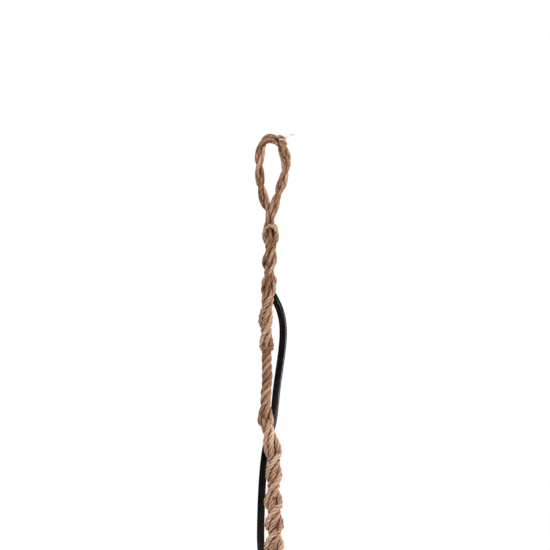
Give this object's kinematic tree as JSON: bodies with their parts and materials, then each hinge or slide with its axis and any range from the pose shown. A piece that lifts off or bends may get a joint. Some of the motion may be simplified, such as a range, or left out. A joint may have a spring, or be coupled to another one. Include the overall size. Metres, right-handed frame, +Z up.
{
  "type": "hanging rope with eye and flex",
  "caption": "Twisted jute hanging rope with an eye at each end and a black round electric flex led through its lay and down beside it.",
  "frame": {"origin": "inside top of the upper eye, where the rope bears on its hook", "axes": "+Z up along the hanging rope, +X to the right across the eye, +Y away from the viewer"},
  "size_m": [0.0326, 0.0223, 0.444],
  "materials": {
    "jute": "laid jute cord, matt and hairy",
    "jute_fray": "loose jute fibres",
    "flex_sheath": "smooth black PVC sheath, satin",
    "twine": "thin jute twine, wound tight"
  },
  "bodies": {
    "root": {"left_leg": "jute", "right_leg": "jute", "splice_end": "jute_fray", "flex": "flex_sheath", "foot_seizing": "twine"}
  },
  "joints": []
}
